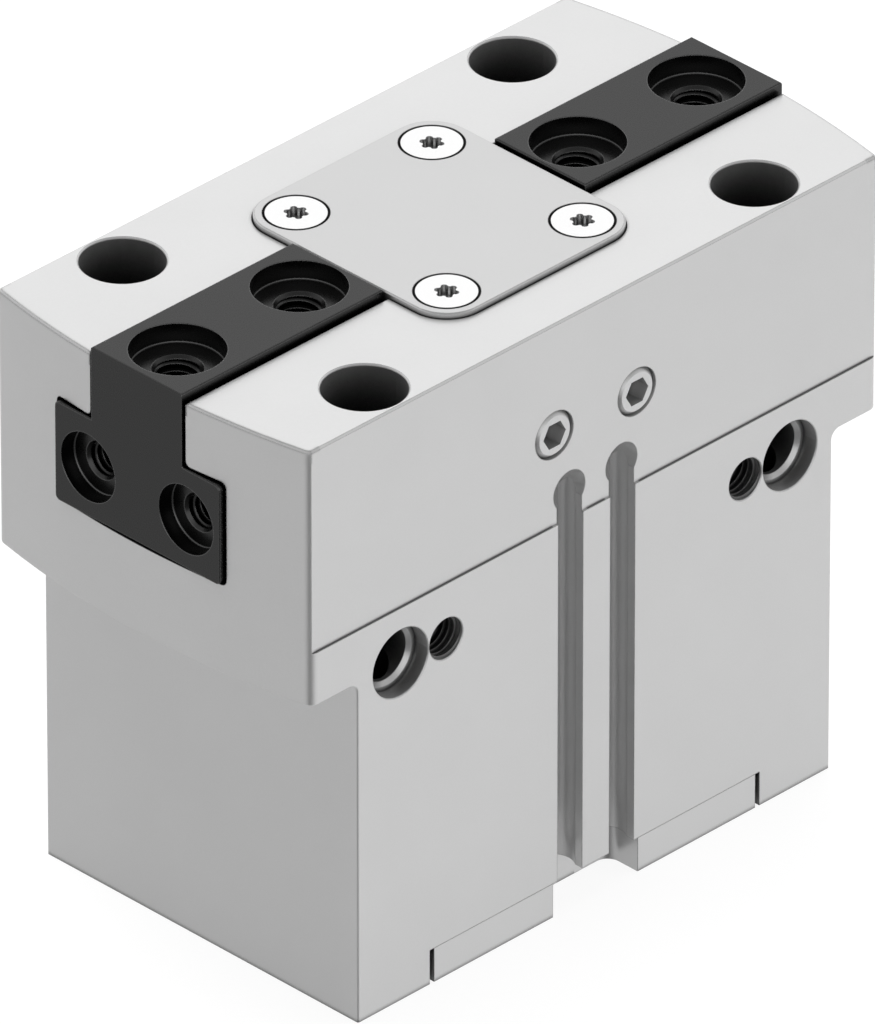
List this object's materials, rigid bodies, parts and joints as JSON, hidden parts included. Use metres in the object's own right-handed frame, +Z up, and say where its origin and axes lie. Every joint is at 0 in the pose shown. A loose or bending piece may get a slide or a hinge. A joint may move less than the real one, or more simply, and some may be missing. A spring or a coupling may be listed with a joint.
{
  "type": "parallel gripper",
  "caption": "Pneumatic parallel gripper: T-slot jaws under a cover plate, drawn open and shut by an oval piston and a sloping wedge hook inside a stepped housing.",
  "frame": {"origin": "centre of the mounting face at the bottom of the housing", "axes": "+X along the jaw travel, to the right seen from the front; -Y the front with the air ports and sensor slots; +Z up, out of the jaws' top"},
  "size_m": [0.077, 0.0404, 0.0641],
  "materials": {
    "anodised_aluminium": "satin, natural anodised",
    "cover_steel": "satin, fine ground",
    "bright_screw_steel": "bright zinc plated",
    "plug_steel": "bright",
    "black_jaw_steel": "black nitrided, satin",
    "hook_steel": "ground, hardened",
    "spring_steel": "black oxide",
    "piston_aluminium": "machined",
    "bushing_bronze": "sintered, matt",
    "magnet": "nickel plated, dull",
    "guide_band_plastic": "matt, filled",
    "seal_rubber": "matt",
    "cushion_rubber": "matt"
  },
  "bodies": {
    "housing_body": {"housing": "anodised_aluminium", "end_cap": "anodised_aluminium", "end_cap_seal": "seal_rubber", "end_cap_screws": "bright_screw_steel", "cover_plate": "cover_steel", "cover_screws": "bright_screw_steel", "port_plugs": "plug_steel", "passage_balls": "plug_steel", "rod_bushing": "bushing_bronze", "rod_seal": "seal_rubber", "seal_washer": "plug_steel", "retaining_ring": "spring_steel", "lower_cushion": "cushion_rubber", "upper_cushion": "cushion_rubber"},
    "piston_body": {"piston": "piston_aluminium", "piston_seals": "seal_rubber", "piston_guide_band": "guide_band_plastic", "piston_magnets": "magnet", "piston_screw": "spring_steel", "wedge_hook": "hook_steel"},
    "jaw_left_body": {"jaw_left": "black_jaw_steel"},
    "jaw_right_body": {"jaw_right": "black_jaw_steel"}
  },
  "joints": [
    {"name": "piston_slide", "type": "slide", "parent": "housing_body", "child": "piston_body", "axis": [0, 0, 1], "range_m": [0, 0.008]},
    {"name": "jaw_left_slide", "type": "slide", "parent": "housing_body", "child": "jaw_left_body", "axis": [-1, 0, 0], "range_m": [0, 0.006]},
    {"name": "jaw_right_slide", "type": "slide", "parent": "housing_body", "child": "jaw_right_body", "axis": [1, 0, 0], "range_m": [0, 0.006]}
  ],
  "couplings": [
    {"joint": "jaw_left_slide", "follows": "piston_slide", "ratio": 0.75},
    {"joint": "jaw_right_slide", "follows": "piston_slide", "ratio": 0.75}
  ]
}
